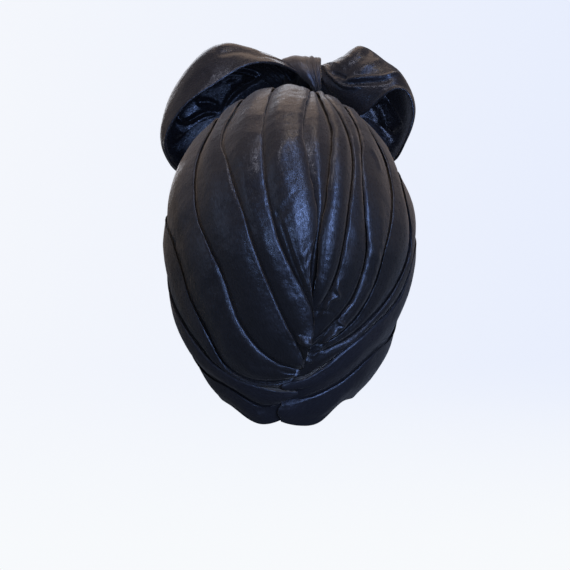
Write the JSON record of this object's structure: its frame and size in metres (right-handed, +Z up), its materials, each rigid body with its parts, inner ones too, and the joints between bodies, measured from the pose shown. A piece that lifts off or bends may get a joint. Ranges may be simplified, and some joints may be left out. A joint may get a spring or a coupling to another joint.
{
  "type": "turban headwrap",
  "caption": "Pre-tied turban headwrap of pleated black satin, open below for the head, with folds that meet in a V at the nape and a wide bow on top.",
  "frame": {"origin": "centre of the opening that the head goes into, about halfway between the nape rim and the forehead rim", "axes": "+Z up on a worn, level head; -Y the wearer's front, which the bow is over; +X the wearer's left. The picture looks along -Y at the back."},
  "size_m": [0.2387, 0.2611, 0.3302],
  "materials": {
    "crown_satin": "satin",
    "nape_satin": "satin",
    "bow_satin": "satin",
    "knot_satin": "satin"
  },
  "bodies": {
    "root": {"left_crown_wrap": "crown_satin", "right_crown_wrap": "crown_satin", "left_nape_wrap": "nape_satin", "right_nape_wrap": "nape_satin", "bow_left_loop": "bow_satin", "bow_right_loop": "bow_satin", "bow_knot": "knot_satin"}
  },
  "joints": []
}
